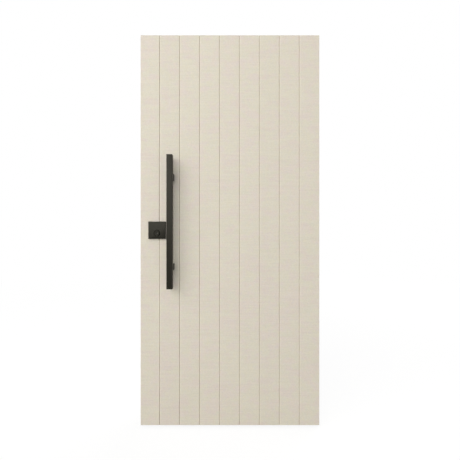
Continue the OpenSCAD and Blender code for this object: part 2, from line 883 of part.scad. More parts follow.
module top_plate() {
  color(steel) difference() {
    pivot_plate(top_plate_low, frame_top, top_bush_r + top_lobe_wall);
    rod_z(pivot_x, 0, top_plate_low - past, frame_top + past, top_bush_r + press_clear);
    pivot_plate_holes(top_plate_low - past, frame_top + past);
  }
}

module top_bush() {
  color(bronze) difference() {
    rod_z(pivot_x, 0, top_plate_low, frame_top, top_bush_r);
    rod_z(pivot_x, 0, top_plate_low - past, frame_top + past, top_pin_r + run_clear);
  }
}

module top_plate_screws() {
  color(steel) for (sx = [-1, 1])
    translate([pivot_x + sx * pivot_plate_screw_x, pivot_plate_screw_y, head_low]) rotate([180, 0, 0])
      screw(profile_t - tip_gap, plate_screw_r);
}

// Lock inside the stile

function edge_x(e) = e - half_w;

module lock_case() {
  guide_t = 1.6;
  guide_end = 8;
  guide_z = [roller_z - carrier_half_h - slide_clear - guide_t, roller_z + carrier_half_h + slide_clear,
             bolt_low + bolt_h + slide_clear];
  y0 = lock_y - case_half;
  y1 = lock_y + case_half;
  color(steel) difference() {
    union() {
      difference() {
        block([edge_x(forend_t + seat_clear), y0, case_low], [edge_x(case_back), y1, case_high]);
        block([edge_x(0), lock_y - case_room, case_low + case_wall],
              [edge_x(case_back - case_wall), lock_y + case_room, case_high - case_wall]);
      }
      for (z = guide_z)
        block([edge_x(guide_end), lock_y - case_room, z],
              [edge_x(carrier_back + guide_end), lock_y + case_room, z + guide_t]);
    }
    rod_y(lock_x, y0 - past, y1 + past, lock_z, cam_boss_r + run_clear);
    for (x = plate_bolt_x, z = plate_bolt_z) rod_y(x, y0 - past, y1 + past, z, bolt_hole_r);
  }
}

module forend() {
  color(steel) difference() {
    round_strip(edge_x(0), edge_x(forend_t), lock_y, forend_low, forend_high, forend_w / 2);
    strike_windows(edge_x(-past), edge_x(forend_t + past), slide_clear);
    for (z = forend_screw_z)
      translate([edge_x(0), lock_y, z]) rotate([0, -90, 0]) screw_seat(forend_t + past, lock_screw_r);
  }
}

module forend_screws() {
  color(steel) for (z = forend_screw_z)
    translate([edge_x(0), lock_y, z]) rotate([0, -90, 0]) screw(2 * edge_wall, lock_screw_r);
}

// The bolt, drawn back at rest: the cam's finger works in the slot of its tail
module deadbolt() {
  slot_x = lock_x + cam_reach * sin(45);
  slot_half = cam_tip_r + cam_play;
  slot_top = lock_z + cam_reach + cam_tip_r + cam_play;
  nose = 2;
  color(steel) difference() {
    block([edge_x(bolt_sink), lock_y - slide_half, bolt_low],
          [edge_x(bolt_tail), lock_y + slide_half, bolt_low + bolt_h]);
    block([slot_x - slot_half, lock_y - case_half, bolt_low - past],
          [slot_x + slot_half, lock_y + case_half, slot_top]);
    for (sy = [-1, 1])
      translate([edge_x(bolt_sink), lock_y + sy * slide_half, bolt_low - past]) rotate([0, 0, 45])
        translate([-nose / 2, -nose / 2, 0]) cube([nose, nose, bolt_h + 2 * past]);
  }
}

// The cam: a hub with bosses in the case's walls and a finger at 45 degrees from upright
module cam() {
  hub_half = case_room - slide_clear;
  arm_from = (cam_boss_r + cam_hub_r) / 2;
  color(steel) difference() {
    union() {
      rod_y(lock_x, lock_y - hub_half, lock_y + hub_half, lock_z, cam_hub_r);
      rod_y(lock_x, lock_y - case_half, lock_y + case_half, lock_z, cam_boss_r);
      translate([lock_x, lock_y, lock_z]) rotate([0, 45, 0]) {
        block([-cam_arm_w / 2, -hub_half, arm_from], [cam_arm_w / 2, hub_half, cam_reach]);
        rod_y(0, -hub_half, hub_half, cam_reach, cam_tip_r);
      }
    }
    square_bar(lock_y - case_t, lock_y + case_t, spindle_w + 2 * spindle_clear);
  }
}

// A square bar on the cylinder's axis
module square_bar(y0, y1, w) {
  block([lock_x - w / 2, y0, lock_z - w / 2], [lock_x + w / 2, y1, lock_z + w / 2]);
}

module spindle() {
  color(steel) square_bar(spindle_front, spindle_back, spindle_w);
}

// Sprung roller latch
module roller_carrier() {
  ear_low = roller_half_h + slide_clear;
  color(steel) difference() {
    union() {
      block([edge_x(carrier_front), lock_y - slide_half, roller_z - carrier_half_h],
            [edge_x(carrier_back), lock_y + slide_half, roller_z + carrier_half_h]);
      block([edge_x(roller_x), lock_y - carrier_ear_r, roller_z - carrier_half_h],
            [edge_x(carrier_front + past), lock_y + carrier_ear_r, roller_z + carrier_half_h]);
      rod_z(edge_x(roller_x), lock_y, roller_z - carrier_half_h, roller_z + carrier_half_h, carrier_ear_r);
    }
    block([edge_x(-2 * roller_out), lock_y - case_half, roller_z - ear_low],
          [edge_x(carrier_front), lock_y + case_half, roller_z + ear_low]);
    rod_z(edge_x(roller_x), lock_y, roller_z - case_t, roller_z + case_t, roller_pin_r + press_clear);
  }
}

module roller_pin() {
  color(steel)
    rod_z(edge_x(roller_x), lock_y, roller_z - carrier_half_h, roller_z + carrier_half_h, roller_pin_r);
}

module roller() {
  crown = 1;
  bore = roller_pin_r + run_clear;
  color(bronze) translate([edge_x(roller_x), lock_y, roller_z]) rotate_extrude() polygon([
    [bore, -roller_half_h], [roller_r - crown, -roller_half_h], [roller_r, crown - roller_half_h],
    [roller_r, roller_half_h - crown], [roller_r - crown, roller_half_h], [bore, roller_half_h]]);
}

// Lock plates: shallow trays with bevelled edges
module plate_tray(side) {
  bevel = 1.5;
  half = plate_w / 2;
  face = half_t + plate_t;
  outline = [[-half, half_t], [half, half_t], [half, face - bevel], [half - bevel, face],
             [bevel - half, face], [-half, face - bevel]];
  inside = half - plate_wall;
  boss_wall = 3.5;
  translate([lock_x, 0, plate_z]) mirror([0, side < 0 ? 1 : 0, 0]) difference() {
    intersection() {
      translate([0, 0, -half]) linear_extrude(plate_w) polygon(outline);
      translate([-half, 0, 0]) rotate([0, 90, 0]) linear_extrude(plate_w) polygon(outline);
    }
    difference() {
      block([-inside, half_t - past, -inside], [inside, face - plate_wall, inside]);
      for (sx = [-1, 1], sz = [-1, 1])
        rod_y(sx * plate_bolt_off, half_t - past, face, sz * plate_bolt_off, plate_bolt_r + boss_wall);
      rod_y(0, half_t - past, face, -cylinder_drop, cylinder_r + boss_wall);
    }
  }
}

module outer_lock_plate() {
  color(black) difference() {
    plate_tray(-1);
    rod_y(lock_x, -half_t - plate_t - past, -half_t + past, lock_z, cylinder_r + seat_clear);
    for (x = plate_bolt_x, z = plate_bolt_z)
      rod_y(x, -half_t - plate_t + plate_wall, -half_t + past, z, plate_bolt_r + press_clear);
  }
}

module inner_lock_plate() {
  color(black) difference() {
    plate_tray(1);
    rod_y(lock_x, half_t - past, half_t + plate_t + past, lock_z, turn_shaft_r + run_clear);
    for (x = plate_bolt_x, z = plate_bolt_z)
      translate([x, half_t + plate_t, z]) rotate([-90, 0, 0]) screw_seat(plate_t + past, plate_bolt_r);
  }
}

module plate_bolts() {
  length = leaf_t + 2 * plate_t - plate_wall - tip_gap;
  color(black) for (x = plate_bolt_x, z = plate_bolt_z)
    translate([x, half_t + plate_t, z]) rotate([-90, 0, 0]) screw(length, plate_bolt_r);
}

// Collar round the cylinder: a turned ring with a sloping rim
module cylinder_rose() {
  r = rose_d / 2;
  rim = 2;
  bore = cylinder_r + seat_clear;
  color(black) translate([lock_x, -half_t - plate_t, lock_z]) rotate([90, 0, 0]) rotate_extrude() polygon([
    [bore, face_clear], [r, face_clear], [r, rose_out - 2 * rim], [r - rim, rose_out],
    [bore + rim, rose_out], [bore, rose_out - rim]]);
}

module cylinder_body() {
  back = lock_y - case_half - seat_clear;
  color(black) difference() {
    rod_y(lock_x, cylinder_front, back, lock_z, cylinder_r);
    rod_y(lock_x, cylinder_front - past, back + past, lock_z, plug_r + run_clear);
  }
}

module key_plug() {
  slot_w = 2;
  slot_h = 8.5;
  slot_d = 25;
  socket = spindle_w + 2 * spindle_clear;
  color(steel) difference() {
    rod_y(lock_x, plug_face, plug_back, lock_z, plug_r);
    block([lock_x - slot_w / 2, plug_face - past, lock_z - slot_h / 2],
          [lock_x + slot_w / 2, plug_face + slot_d, lock_z + slot_h / 2]);
    square_bar(spindle_front - slide_clear, plug_back + past, socket);
  }
}

// Thumb turn: a shaft through the inner plate, a round foot and an upright wing
module thumb_turn() {
  foot_r = 17;
  foot_t = 5;
  wing_t = 9;
  wing_half = 14;
  face = half_t + plate_t + slide_clear;
  color(black) difference() {
    union() {
      rod_y(lock_x, turn_shaft_back, face + past, lock_z, turn_shaft_r);
      rod_y(lock_x, face, face + foot_t, lock_z, foot_r);
      block([lock_x - wing_t / 2, face, lock_z - wing_half],
            [lock_x + wing_t / 2, face + turn_out, lock_z + wing_half]);
      for (sz = [-1, 1]) rod_y(lock_x, face, face + turn_out, lock_z + sz * wing_half, wing_t / 2);
    }
    square_bar(turn_shaft_back - past, spindle_back + spindle_clear, spindle_w + 2 * spindle_clear);
  }
}

// Pulls: square tubes on two posts, the two sides joined through the leaf

pull_corner = 2.5;
pull_corner_in = 1.5;
post_corner = 2;
cap_clear = 0.1;

module pull_section(inset, corner) {
  side = pull_w - 2 * inset;
  round_square([side, side], corner);
}

module pull_bar(side) {
  y = side * (half_t + pull_out - pull_w / 2);
  translate([pull_x, y, pull_z - pull_l / 2]) linear_extrude(pull_l) difference() {
    pull_section(0, pull_corner);
    pull_section(pull_wall, pull_corner_in);
  }
}

module pull_posts(side) {
  y0 = side * half_t;
  y1 = side * (half_t + post_d);
  for (z = post_z) difference() {
    translate([pull_x, y0, z]) rotate([side < 0 ? 90 : -90, 0, 0])
      linear_extrude(post_d) round_square([pull_w, post_h], post_corner);
    rod_y(pull_x, -rod_end - tip_gap, rod_end + tip_gap, z, pull_rod_r + press_clear);
  }
}

module outer_pull_bar() {
  color(black) pull_bar(-1);
}

module outer_pull_posts() {
  color(black) pull_posts(-1);
}

module inner_pull_bar() {
  color(black) pull_bar(1);
}

module inner_pull_posts() {
  color(black) pull_posts(1);
}

// End caps: plugs that close the tubes, flush with their ends
module pull_caps() {
  depth = 12;
  color(black) for (side = [-1, 1], sz = [-1, 1])
    translate([pull_x, side * (half_t + pull_out - pull_w / 2), pull_z + sz * (pull_l / 2 - depth / 2)])
      translate([0, 0, -depth / 2]) linear_extrude(depth) pull_section(pull_wall + cap_clear, pull_corner_in);
}

// Threaded rods through the leaf, each with a sleeve that keeps the faces apart
module pull_bolts() {
  sleeve_end = inner_t - seat_clear;
  color(steel) for (z = post_z) {
    rod_y(pull_x, -rod_end, rod_end, z, pull_rod_r);
    difference() {
      rod_y(pull_x, -sleeve_end, sleeve_end, z, rod_hole_r + sleeve_wall);
      rod_y(pull_x, -half_t, half_t, z, rod_hole_r);
    }
  }
}

threshold();
lock_jamb();
pivot_jamb();
head();
corner_screws();
lock_stop();
head_stop();
stop_screws();
lock_gasket();
head_gasket();
pivot_brush();
strike_plate();
strike_box();
strike_screws();
floor_plate();
floor_spindle();
floor_plate_screws();
top_plate();
top_bush();
top_plate_screws();
lock_stile();
plank_2();
plank_3();
plank_4();
plank_5();
plank_6();
plank_7();
plank_8();
pivot_stile();
top_rail();
bottom_rail();
bottom_brush();
top_pivot_body();
top_pivot_pin();
bottom_pivot_body();
bottom_bush();
thrust_washer();
pivot_body_screws();
lock_case();
forend();
forend_screws();
deadbolt();
cam();
spindle();
roller_carrier();
roller();
roller_pin();
outer_lock_plate();
cylinder_rose();
cylinder_body();
key_plug();
inner_lock_plate();
thumb_turn();
plate_bolts();
outer_pull_bar();
outer_pull_posts();
inner_pull_bar();
inner_pull_posts();
pull_caps();
pull_bolts();
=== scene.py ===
import math

import bmesh
import bpy
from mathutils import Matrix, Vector


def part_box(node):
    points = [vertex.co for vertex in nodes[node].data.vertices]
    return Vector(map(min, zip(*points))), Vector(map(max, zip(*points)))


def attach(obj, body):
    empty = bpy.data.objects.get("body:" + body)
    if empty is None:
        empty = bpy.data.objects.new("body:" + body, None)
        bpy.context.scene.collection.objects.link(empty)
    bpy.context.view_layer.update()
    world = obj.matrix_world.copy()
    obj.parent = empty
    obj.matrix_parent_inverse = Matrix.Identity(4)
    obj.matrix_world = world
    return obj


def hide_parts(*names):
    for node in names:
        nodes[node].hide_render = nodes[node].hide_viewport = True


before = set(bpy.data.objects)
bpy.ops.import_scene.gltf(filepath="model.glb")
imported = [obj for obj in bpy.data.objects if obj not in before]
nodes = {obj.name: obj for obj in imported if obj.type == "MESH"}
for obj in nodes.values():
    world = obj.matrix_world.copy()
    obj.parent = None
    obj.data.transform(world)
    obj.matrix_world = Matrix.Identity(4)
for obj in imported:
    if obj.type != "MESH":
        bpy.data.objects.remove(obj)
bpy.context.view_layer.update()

# Threshold: an extruded channel laid on the floor across the opening, with a grooved tread behind the leaf.
# Bare anodised aluminium, with the fine lines of drawing along it and its long edges eased.

NOISE_LOW, NOISE_HIGH = 0.3, 0.7


class Wire:
    """A socket of a node tree that takes part in Python sums and products."""

    def __init__(self, tree, socket=None):
        self.tree = tree
        self.socket = socket

    def add(self, kind, settings, values, outlet=0):
        """Adds a node of any kind: its settings first, then the values or links of its sockets."""
        node = self.tree.nodes.new(kind)
        for name, value in settings.items():
            setattr(node, name, value)
        for key, value in values.items():
            if isinstance(value, Wire):
                self.tree.links.new(value.socket, node.inputs[key])
            else:
                node.inputs[key].default_value = value
        return Wire(self.tree, node.outputs[outlet] if len(node.outputs) else None)

    def math(self, operation, *values):
        return self.add("ShaderNodeMath", {"operation": operation}, dict(enumerate(values)))

    def __add__(self, other):
        return self.math("ADD", self, other)

    __radd__ = __add__

    def __sub__(self, other):
        return self.math("SUBTRACT", self, other)

    def __rsub__(self, other):
        return self.math("SUBTRACT", other, self)

    def __mul__(self, other):
        return self.math("MULTIPLY", self, other)

    __rmul__ = __mul__

    def __truediv__(self, other):
        return self.math("DIVIDE", self, other)

    def __rtruediv__(self, other):
        return self.math("DIVIDE", other, self)

    def __abs__(self):
        return self.math("ABSOLUTE", self)

    def noise(self, scale, detail=2.0, stretch=(1.0, 1.0, 1.0)):
        """Cloudy noise on a place, pulled out along the axes with a small stretch."""
        turned = self.add("ShaderNodeMapping", {}, {"Vector": self, "Scale": stretch})
        return self.add("ShaderNodeTexNoise", {}, {"Vector": turned, "Scale": scale, "Detail": detail})

    def span(self, low, high, out_low=0.0, out_high=1.0):
        """A value from low to high, made a value from out_low to out_high and held there beyond."""
        return self.add("ShaderNodeMapRange", {}, {0: self, 1: low, 2: high, 3: out_low, 4: out_high})

    def grade(self, out_low=0.0, out_high=1.0):
        """The usual values of a noise, spread from out_low to out_high."""
        return self.span(NOISE_LOW, NOISE_HIGH, out_low, out_high)

    def tint(self, colour, other):
        """The mix of two colours, with this value as the share of the second."""
        return self.add("ShaderNodeMix", {"data_type": "RGBA"}, {0: self, 6: colour, 7: other}, 2)

    def axis(self, name):
        return self.add("ShaderNodeSeparateXYZ", {}, {"Vector": self}, name)

    def bump(self, distance, strength, normal=None):
        values = {"Height": self, "Distance": distance, "Strength": strength}
        if normal:
            values["Normal"] = normal
        return self.add("ShaderNodeBump", {}, values)

    def surface(self, values):
        """Ends a finish: its shader, with these values or links on its sockets."""
        shader = self.add("ShaderNodeBsdfPrincipled", {}, values)
        self.add("ShaderNodeOutputMaterial", {}, {"Surface": shader})


def new_finish(name):
    """A new material, and the place on the piece that its patterns are laid out by."""
    material = bpy.data.materials.new(name)
    material.use_nodes = True
    material.node_tree.nodes.clear()
    return material, Wire(material.node_tree).add("ShaderNodeTexCoord", {}, {}, "Object")


ALUMINIUM_DARK = (0.52, 0.53, 0.54, 1)
ALUMINIUM_LIGHT = (0.67, 0.67, 0.68, 1)
ALUMINIUM_DULL = (0.47, 0.47, 0.47, 1)


def drawn_aluminium(name, stretch):
    """Bare aluminium, with lines along the axis of the smallest stretch and a few dull clouds."""
    material, place = new_finish(name)
    lines = place.noise(scale=1.0, detail=3.0, stretch=stretch)
    cloud = place.noise(scale=9.0)
    colour = lines.tint(ALUMINIUM_DARK, ALUMINIUM_LIGHT)
    place.surface({
        "Base Color": cloud.grade(0.0, 0.35).tint(colour, ALUMINIUM_DULL),
        "Metallic": 1.0,
        "Roughness": lines.grade(0.5, 0.64),
        "Normal": lines.bump(distance=0.0002, strength=0.12),
    })
    return material


def link(name, mesh):
    """A new piece of the object, with its place in its mesh."""
    piece = bpy.data.objects.new(name, mesh)
    bpy.context.scene.collection.objects.link(piece)
    return piece


WELD = 1e-6
FLAT = math.radians(0.5)
CREASE = math.radians(30)
STRAIGHT = 0.999
SHORTEST_ROUNDED = 4
PROFILE_STEPS = 3


def merged(node):
    """A copy of a solid's mesh, its triangles joined to whole faces."""
    shape = bmesh.new()
    shape.from_mesh(nodes[node].data)
    bmesh.ops.remove_doubles(shape, verts=shape.verts, dist=WELD)
    bmesh.ops.dissolve_limit(shape, angle_limit=FLAT, verts=shape.verts, edges=shape.edges)
    return shape


def eased(node, body, material, axis, offset, wanted=None):
    """A copy of a profile in its place, with the outer edges along its length rounded."""
    shape = merged(node)
    edges = []
    for edge in shape.edges:
        along = edge.verts[1].co - edge.verts[0].co
        lengthwise = abs(along[axis]) > max(STRAIGHT * along.length, SHORTEST_ROUNDED * offset)
        if lengthwise and edge.is_manifold and edge.is_convex and edge.calc_face_angle() > CREASE:
            if wanted is None or wanted(edge):
                edges.append(edge)
    rounds = bmesh.ops.bevel(shape, geom=edges, offset=offset, segments=PROFILE_STEPS, profile=0.5,
                             affect="EDGES", clamp_overlap=True)["faces"]
    for face in shape.faces:
        face.smooth = False
    for face in rounds:
        face.smooth = True
    mesh = bpy.data.meshes.new(node + "_profile")
    shape.to_mesh(mesh)
    shape.free()
    mesh.materials.append(material)
    piece = link(mesh.name, mesh)
    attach(piece, body)
    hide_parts(node)


ACROSS = 0
PROFILE_ROUND = 0.0004
TREAD_LINES = (6.0, 900.0, 900.0)
tread_aluminium = drawn_aluminium("tread_aluminium", TREAD_LINES)
eased("threshold", "frame", tread_aluminium, ACROSS, PROFILE_ROUND)

# Jambs and head: slim channels of extruded aluminium, cut square and screwed together at the corners.
# Powder coated in the leaf's pale cream, with the fine grain and slight waviness of a baked coat.

CREAM = (0.703, 0.653, 0.553, 1)
CREAM_YELLOW = (0.702, 0.661, 0.543, 1)
CREAM_PINK = (0.712, 0.634, 0.562, 1)
WARM_CAST = (1.009, 1.0, 0.97, 1)
COOL_CAST = (0.991, 1.0, 1.03, 1)
LEVEL_BRUSHING = (7.0, 7.0, 130.0)
LOW_CLOUDS = (1.0, 1.0, 1.6)


def powder_coat(place, shade=1.0):
    """The cream coat, clouded, brushed level and grained. Returns its colour, relief and grain."""
    cloud = place.noise(scale=15.0, detail=6.0, stretch=LOW_CLOUDS)
    fleck = place.noise(scale=55.0, detail=4.0)
    streak = place.noise(scale=1.0, detail=3.0, stretch=LEVEL_BRUSHING)
    grain = place.noise(scale=950.0)
    wave = place.noise(scale=120.0)
    colour = cloud.span(0.43, 0.62).tint(CREAM_YELLOW, CREAM_PINK)
    colour = streak.grade(0.0, 0.4).tint(colour, CREAM)
    cast = fleck.grade().tint(WARM_CAST, COOL_CAST)
    colour = place.add("ShaderNodeVectorMath", {"operation": "MULTIPLY"}, {0: colour, 1: cast})
    light = streak.span(0.25, 0.75, 0.973, 1.027) * grain.grade(0.985, 1.015)
    light = light * wave.span(0.2, 0.8, 0.95, 1.05) * shade
    toned = place.add("ShaderNodeVectorMath", {"operation": "SCALE"}, {"Vector": colour, "Scale": light})
    ripple = wave.bump(distance=0.0004, strength=0.1)
    relief = grain.bump(distance=0.00012, strength=0.22, normal=ripple)
    return toned, relief, grain


frame_coat, place = new_finish("frame_coat")
colour, relief, grain = powder_coat(place)
place.surface({
    "Base Color": colour,
    "Roughness": grain.grade(0.5, 0.62),
    "Normal": relief,
    "IOR": 1.45,
})

UPRIGHT = 2
eased("lock_jamb", "frame", frame_coat, UPRIGHT, PROFILE_ROUND)
eased("pivot_jamb", "frame", frame_coat, UPRIGHT, PROFILE_ROUND)
eased("head", "frame", frame_coat, ACROSS, PROFILE_ROUND)

# Stops: hollow square profiles of extruded aluminium that the leaf closes against, in the frame's coat.
# One is screwed to the lock jamb. One is screwed under the head, and ends short of the pivot so that the
# leaf's heel can pass.

eased("lock_stop", "frame", frame_coat, UPRIGHT, PROFILE_ROUND)
eased("head_stop", "frame", frame_coat, ACROSS, PROFILE_ROUND)

# Screws of the frame: countersunk, with a hexagon socket, turned from steel and zinc plated.
# Each kind is one shape, set at its places by a node tree that turns every socket a little differently.

ZINC_DARK = (0.42, 0.43, 0.44, 1)
ZINC_LIGHT = (0.56, 0.56, 0.57, 1)
ZINC_LINES = (700.0, 90.0, 700.0)
zinc_steel, place = new_finish("zinc_steel")
brushed = place.noise(scale=1.0, detail=3.0, stretch=ZINC_LINES)
cloud = place.noise(scale=40.0, detail=3.0)
place.surface({
    "Base Color": cloud.grade().tint(ZINC_DARK, ZINC_LIGHT),
    "Metallic": 1.0,
    "Roughness": brushed.grade(0.26, 0.42),
    "Normal": brushed.bump(distance=0.0001, strength=0.1),
})


def dress(material, *names):
    """Gives solids that are shown as they are their finish."""
    for name in names:
        nodes[name].data.materials.clear()
        nodes[name].data.materials.append(material)


SCREW_SIDES = 24
SCREW_SMOOTH = math.radians(35)
HEX_SIDE = math.pi / 3


def turned_screw(name, rings):
    """A turned shape about Z. A ring is a radius and a height, and True after them makes it a hexagon."""
    mesh = bpy.data.meshes.new(name)
    shape = bmesh.new()
    loops = []
    for radius, height, *hexagon in rings:
        if radius == 0:
            loops.append([shape.verts.new((0, 0, height))])
            continue
        loop = []
        for i in range(SCREW_SIDES):
            angle = 2 * math.pi * i / SCREW_SIDES
            reach = radius
            if hexagon:
                reach = radius * math.cos(HEX_SIDE / 2) / math.cos(angle % HEX_SIDE - HEX_SIDE / 2)
            loop.append(shape.verts.new((reach * math.cos(angle), reach * math.sin(angle), height)))
        loops.append(loop)
    for low, high in zip(loops, loops[1:]):
        for i in range(SCREW_SIDES):
            j = (i + 1) % SCREW_SIDES
            corners = [low[i % len(low)], low[j % len(low)], high[j % len(high)], high[i % len(high)]]
            shape.faces.new(list(dict.fromkeys(corners)))
    bmesh.ops.recalc_face_normals(shape, faces=shape.faces)
    shape.to_mesh(mesh)
    shape.free()
    mesh.shade_smooth()
    mesh.set_sharp_from_angle(angle=SCREW_SMOOTH)
    return mesh


def new_tree(name, sockets):
    """A geometry tree with named inputs. Returns it and its inputs by name."""
    tree = bpy.data.node_groups.new(name, "GeometryNodeTree")
    tree.interface.new_socket("Geometry", in_out="OUTPUT", socket_type="NodeSocketGeometry")
    for socket, kind in sockets.items():
        tree.interface.new_socket(socket, in_out="INPUT", socket_type="NodeSocket" + kind)
    entry = tree.nodes.new("NodeGroupInput")
    return tree, {socket: Wire(tree, entry.outputs[socket]) for socket in sockets}


def end_tree(shapes, coat):
    """Ends a tree: instances made real, and their material set."""
    real = shapes.add("GeometryNodeRealizeInstances", {}, {"Geometry": shapes})
    coated = real.add("GeometryNodeSetMaterial", {}, {"Geometry": real, "Material": coat})
    coated.add("NodeGroupOutput", {}, {0: coated})


def made_by(tree, name, values, mesh=None):
    """A plain mesh from a tree with these inputs, as a piece."""
    piece = link(name, mesh or bpy.data.meshes.new(name))
    modifier = piece.modifiers.new("tree", "NODES")
    modifier.node_group = tree
    for item in tree.interface.items_tree:
        if item.in_out == "INPUT" and item.name in values:
            modifier[item.identifier] = values[item.name]
    made = piece.evaluated_get(bpy.context.evaluated_depsgraph_get())
    plain = bpy.data.meshes.new_from_object(made)
    piece.modifiers.clear()
    piece.data = plain
    return piece


screw_tree, sockets = new_tree("screws_at_places", {
    "Places": "Geometry", "Screw": "Object", "Turn": "Float", "Seed": "Int", "Coat": "Material"})
start = sockets["Places"]
shape = start.add("GeometryNodeObjectInfo", {}, {"Object": sockets["Screw"]}, "Geometry")
outward = start.add("GeometryNodeInputNamedAttribute", {"data_type": "FLOAT_VECTOR"}, {"Name": "outward"})
upright = start.add("FunctionNodeAlignRotationToVector", {"axis": "Z"}, {"Vector": outward})
chance = start.add("FunctionNodeRandomValue", {"data_type": "FLOAT"}, {"Seed": sockets["Seed"]}, 1)
angle = chance * sockets["Turn"]
turned = start.add("FunctionNodeAxisAngleToRotation", {}, {"Axis": (0, 0, 1), "Angle": angle})
turned = start.add("FunctionNodeRotateRotation", {"rotation_space": "LOCAL"}, {0: upright, 1: turned})
end_tree(start.add("GeometryNodeInstanceOnPoints", {}, {
    "Points": start, "Instance": shape, "Rotation": turned}), sockets["Coat"])


def set_screws(name, node, body, radius, length, places, seed):
    """Countersunk screws at places, each a point on the face and the way that its head looks."""
    tip = 0.7 * radius
    lead = 0.5 * radius
    head = 2 * radius
    rim = 0.06 * radius
    socket = 0.92 * radius
    mouth = 1.25 * socket
    flare = 1.12 * socket
    flare_depth = 0.12 * radius
    socket_depth = 0.95 * radius
    drill_depth = 1.2 * radius
    pattern = link(name + "_pattern", turned_screw(name + "_pattern", [
        (0, -length), (tip, -length), (radius, lead - length), (radius, -radius),
        (head - rim, -2 * rim), (head, -rim), (head - rim, 0), (mouth, 0), (flare, 0, True),
        (socket, -flare_depth, True), (socket, -socket_depth, True), (0, -drill_depth)]))
    points = bpy.data.meshes.new(name)
    points.from_pydata([spot for spot, _ in places], [], [])
    outward = points.attributes.new("outward", "FLOAT_VECTOR", "POINT")
    outward.data.foreach_set("vector", [c for _, way in places for c in way])
    piece = made_by(screw_tree, name, {
        "Screw": pattern, "Turn": 2 * math.pi, "Seed": seed, "Coat": zinc_steel}, points)
    bpy.data.objects.remove(pattern)
    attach(piece, body)
    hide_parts(node)


SORT_DIGITS = 4


def single_solids(node):
    """The lowest and highest corners of the loose solids of a node, from the lowest up."""
    shape = bmesh.new()
    shape.from_mesh(nodes[node].data)
    bmesh.ops.remove_doubles(shape, verts=shape.verts, dist=WELD)
    left = set(shape.verts)
    found = []
    while left:
        group = [left.pop()]
        for vert in group:
            for edge in vert.link_edges:
                other = edge.other_vert(vert)
                if other in left:
                    left.remove(other)
                    group.append(other)
        low = Vector(min(v.co[k] for v in group) for k in range(3))
        high = Vector(max(v.co[k] for v in group) for k in range(3))
        found.append((low, high))
    shape.free()
    return sorted(found, key=lambda box: (round(box[0].z, SORT_DIGITS), round(box[0].x, SORT_DIGITS)))


def heads(node, way):
    """Where the screws of a node have the middle of their heads, if they look that way."""
    axis = max(range(3), key=lambda k: abs(way[k]))
    places = []
    for low, high in single_solids(node):
        spot = (low + high) / 2
        spot[axis] = high[axis] if way[axis] > 0 else low[axis]
        places.append((spot, way))
    return places


SMALL_SCREW_R = 0.002
STOP_SCREW_L = 0.0255
JAMB_SCREWS_END = -0.53
RIGHT = (1, 0, 0)
DOWN = (0, 0, -1)
stop_places = [(spot, way) for spot, way in heads("stop_screws", RIGHT) if spot.x < JAMB_SCREWS_END]
stop_places += [(spot, way) for spot, way in heads("stop_screws", DOWN) if spot.x > JAMB_SCREWS_END]
set_screws("stop_screws_set", "stop_screws", "frame", SMALL_SCREW_R, STOP_SCREW_L, stop_places, seed=1)
dress(zinc_steel, "corner_screws")

# Gaskets: soft bulbs with a foot pressed into the groove of each stop, which the closed leaf touches lightly.
# Extruded black rubber, matt, a little dusty.

RUBBER = (0.014, 0.014, 0.014, 1)
RUBBER_DUST = (0.045, 0.043, 0.04, 1)
bulb_rubber, place = new_finish("bulb_rubber")
skin = place.noise(scale=600.0, detail=3.0)
dust = place.noise(scale=30.0, detail=4.0)
place.surface({
    "Base Color": dust.span(0.45, 0.75).tint(RUBBER, RUBBER_DUST),
    "Roughness": skin.grade(0.68, 0.86),
    "Normal": skin.bump(distance=0.0001, strength=0.3),
})
dress(bulb_rubber, "lock_gasket", "head_gasket")

# Brush on the pivot jamb: a woven strip of upright pile in a slot, which wipes the leaf's edge as it turns.
# Thousands of fine black bristles, set in rows by a node tree, each leaning a little its own way.

PILE_DARK = (0.012, 0.012, 0.012, 1)
PILE_WORN = (0.075, 0.073, 0.07, 1)
pile_finish, place = new_finish("brush_pile")
strand = place.noise(scale=420.0)
place.surface({
    "Base Color": strand.tint(PILE_DARK, PILE_WORN),
    "Roughness": strand.grade(0.55, 0.8),
    "Normal": strand.bump(distance=0.0001, strength=0.2),
})

PILE_THICK = 0.00032
PILE_TAPER = 0.55
PILE_SIDES = 4
PILE_PITCH = 0.0017
PILE_LEAN = 0.13
PILE_TWIST = 3.0
PILE_SHORTEST, PILE_LONGEST = 0.86, 0.99
LENGTH_SEED_STEP = 7.0
pile_tree, sockets = new_tree("rows_of_bristles", {
    "Run": "Float", "Width": "Float", "Along": "Int", "Rows": "Int", "Pile": "Float", "Thick": "Float",
    "Lean": "Float", "Seed": "Int", "Place": "Vector", "Turn": "Rotation", "Coat": "Material"})
start = sockets["Run"]
field = start.add("GeometryNodeMeshGrid", {}, {
    "Size X": start, "Size Y": sockets["Width"],
    "Vertices X": sockets["Along"], "Vertices Y": sockets["Rows"]})
bristle = start.add("GeometryNodeMeshCone", {"fill_type": "NGON"}, {
    "Vertices": PILE_SIDES, "Radius Top": sockets["Thick"] * PILE_TAPER,
    "Radius Bottom": sockets["Thick"], "Depth": sockets["Pile"]})
lean = sockets["Lean"]
least = start.add("ShaderNodeCombineXYZ", {}, {0: 0.0 - lean, 1: 0.0 - lean, 2: -PILE_TWIST})
most = start.add("ShaderNodeCombineXYZ", {}, {0: lean, 1: lean, 2: PILE_TWIST})
tilt = start.add("FunctionNodeRandomValue", {"data_type": "FLOAT_VECTOR"}, {
    0: least, 1: most, "Seed": sockets["Seed"]})
length = start.add("FunctionNodeRandomValue", {"data_type": "FLOAT"}, {
    2: PILE_SHORTEST, 3: PILE_LONGEST, "Seed": sockets["Seed"] + LENGTH_SEED_STEP}, 1)
size = start.add("ShaderNodeCombineXYZ", {}, {0: 1.0, 1: 1.0, 2: length})
